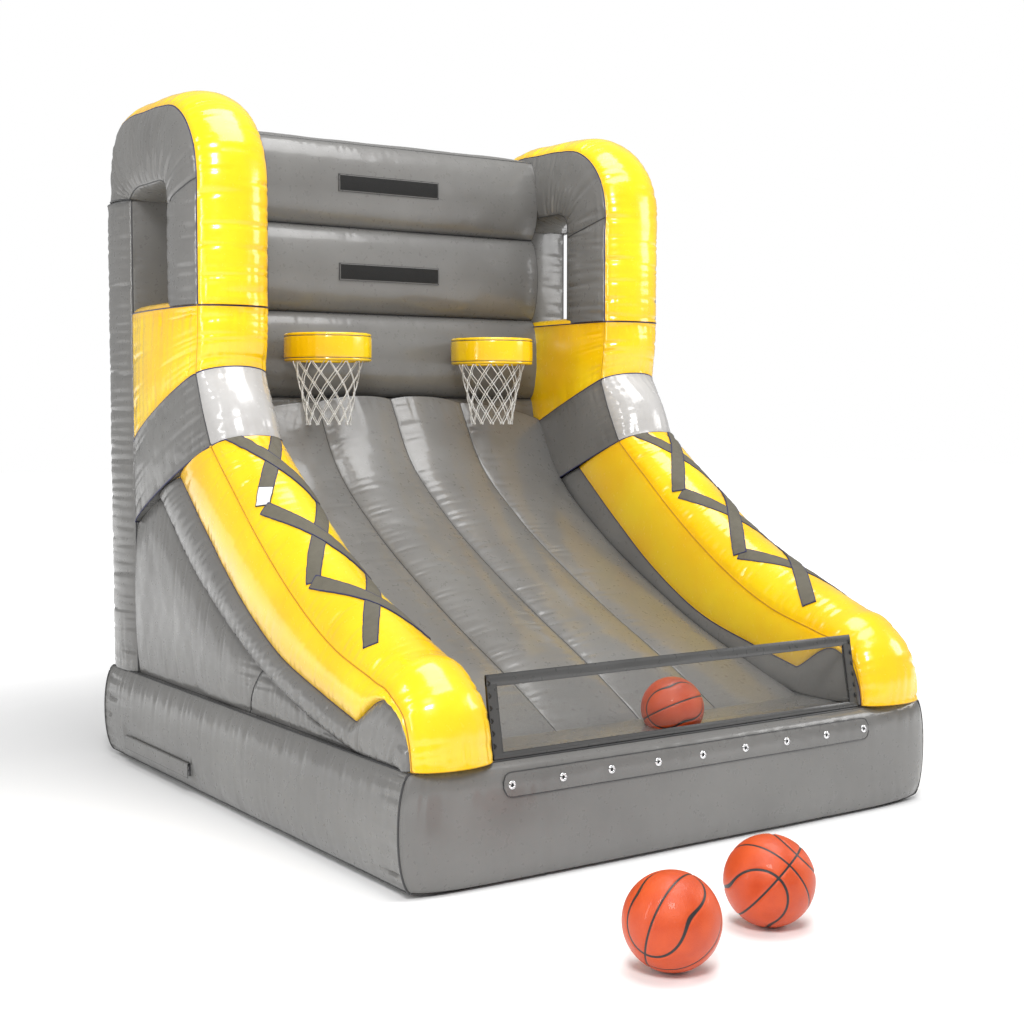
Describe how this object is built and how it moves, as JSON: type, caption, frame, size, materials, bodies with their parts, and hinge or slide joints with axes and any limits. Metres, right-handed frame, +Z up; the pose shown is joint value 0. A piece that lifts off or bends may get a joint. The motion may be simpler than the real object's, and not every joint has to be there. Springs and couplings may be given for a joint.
{
  "type": "inflatable basketball hoop game",
  "caption": "Inflatable arcade basketball game with two netted hoops on a tubed backboard, a sloping ball-return ramp between lacing-trimmed side bolsters, a clear front screen and balls.",
  "frame": {"origin": "on the floor under the middle of the base cushion", "axes": "+Z up, -Y towards the player, +X to the right as the player's view runs along +Y"},
  "size_m": [2.1018, 3.417, 2.49],
  "materials": {
    "grey_vinyl": "glossy coated vinyl, warm mid grey",
    "yellow_vinyl": "glossy coated vinyl, bright yellow",
    "silver_vinyl": "glossy silver-grey coated vinyl",
    "webbing": "flat grey welded webbing strips",
    "black_webbing": "black woven webbing",
    "clear_vinyl": "clear flexible sheet",
    "steel": "plated steel",
    "white_cord": "white braided cord",
    "hook_and_loop": "black hook-and-loop pile",
    "ball_rubber": "pebbled orange rubber with black channels",
    "bladder_rubber": "black butyl rubber",
    "zip_tape": "black zip tape with moulded teeth"
  },
  "bodies": {
    "inflatable": {"base_cushion": "grey_vinyl", "base_baffles": "grey_vinyl", "front_lip": "grey_vinyl", "rear_wall_lower": "grey_vinyl", "board_tube_lower": "grey_vinyl", "board_tube_middle": "grey_vinyl", "board_tube_top": "grey_vinyl", "ramp_channel_1": "grey_vinyl", "ramp_channel_2": "grey_vinyl", "ramp_channel_3": "grey_vinyl", "ramp_channel_4": "grey_vinyl", "left_side_rail": "grey_vinyl", "left_rear_post": "grey_vinyl", "left_side_gusset": "grey_vinyl", "left_front_post": "yellow_vinyl", "left_arch": "yellow_vinyl", "left_shoulder": "yellow_vinyl", "left_slope_bolster": "yellow_vinyl", "left_hoop_cover": "yellow_vinyl", "left_hoop_tab": "yellow_vinyl", "left_collar": "silver_vinyl", "left_cross_straps": "webbing", "left_hoop_rim": "steel", "left_net": "white_cord", "right_side_rail": "grey_vinyl", "right_rear_post": "grey_vinyl", "right_side_gusset": "grey_vinyl", "right_front_post": "yellow_vinyl", "right_arch": "yellow_vinyl", "right_shoulder": "yellow_vinyl", "right_slope_bolster": "yellow_vinyl", "right_hoop_cover": "yellow_vinyl", "right_hoop_tab": "yellow_vinyl", "right_collar": "silver_vinyl", "right_cross_straps": "webbing", "right_hoop_rim": "steel", "right_net": "white_cord", "board_patches": "hook_and_loop", "screen_hem": "black_webbing", "grommet_strip": "black_webbing", "screen_window": "clear_vinyl", "grommets": "steel", "vent_tape": "zip_tape", "inlet_sleeve": "grey_vinyl", "inlet_strap": "black_webbing", "anchor_loops": "black_webbing"},
    "ball_1_roll": {"ball_1_bladder": "bladder_rubber"},
    "ball_1_spin": {"ball_1_cover": "ball_rubber", "ball_1_valve": "bladder_rubber"},
    "ball_2_roll": {"ball_2_bladder": "bladder_rubber"},
    "ball_2_spin": {"ball_2_cover": "ball_rubber", "ball_2_valve": "bladder_rubber"},
    "ball_3_roll": {"ball_3_bladder": "bladder_rubber"},
    "ball_3_spin": {"ball_3_cover": "ball_rubber", "ball_3_valve": "bladder_rubber"},
    "vent_slider": {"vent_slider": "steel"},
    "vent_pull": {"vent_pull": "steel"},
    "vent_flap": {"vent_flap": "grey_vinyl"},
    "left_anchor_ring": {"left_anchor_ring": "steel"},
    "right_anchor_ring": {"right_anchor_ring": "steel"}
  },
  "joints": [
    {"name": "ball_1_travel", "type": "slide", "parent": "inflatable", "child": "ball_1_roll", "axis": [0, -1, 0], "range_m": [-0.25, 0.5]},
    {"name": "ball_1_turn", "type": "hinge", "parent": "ball_1_roll", "child": "ball_1_spin", "pos_m": [-0.773, -1.961, 0.121], "axis": [1, 0, 0], "range_deg": [-120, 238]},
    {"name": "ball_2_travel", "type": "slide", "parent": "inflatable", "child": "ball_2_roll", "axis": [0, -1, 0], "range_m": [-0.25, 0.5]},
    {"name": "ball_2_turn", "type": "hinge", "parent": "ball_2_roll", "child": "ball_2_spin", "pos_m": [-0.347, -1.848, 0.12], "axis": [1, 0, 0], "range_deg": [-121, 240]},
    {"name": "ball_3_travel", "type": "slide", "parent": "inflatable", "child": "ball_3_roll", "axis": [1, 0, 0], "range_m": [-0.58, 0.56]},
    {"name": "ball_3_turn", "type": "hinge", "parent": "ball_3_roll", "child": "ball_3_spin", "pos_m": [0.03, -1.006, 0.4028], "axis": [0, 1, 0], "range_deg": [-334, 322]},
    {"name": "vent_slider_travel", "type": "slide", "parent": "inflatable", "child": "vent_slider", "axis": [0, 1, 0], "range_m": [0, 0.558]},
    {"name": "vent_pull_swing", "type": "hinge", "parent": "vent_slider", "child": "vent_pull", "pos_m": [-1.0528, 0.346, 0.092], "axis": [1, 0, 0], "range_deg": [-80, 80]},
    {"name": "vent_flap_hinge", "type": "hinge", "parent": "inflatable", "child": "vent_flap", "pos_m": [-1.0478, 0.615, 0.1165], "axis": [0, 1, 0], "range_deg": [0, 90]},
    {"name": "left_anchor_ring_swing", "type": "hinge", "parent": "inflatable", "child": "left_anchor_ring", "pos_m": [-0.85, 1.1823, 0.15], "axis": [1, 0, 0], "range_deg": [0, 170]},
    {"name": "right_anchor_ring_swing", "type": "hinge", "parent": "inflatable", "child": "right_anchor_ring", "pos_m": [0.85, 1.1823, 0.15], "axis": [1, 0, 0], "range_deg": [0, 170]}
  ],
  "couplings": [
    {"joint": "ball_1_turn", "follows": "ball_1_travel", "rad_per_m": 8.2645},
    {"joint": "ball_2_turn", "follows": "ball_2_travel", "rad_per_m": 8.3333},
    {"joint": "ball_3_turn", "follows": "ball_3_travel", "rad_per_m": 10}
  ]
}
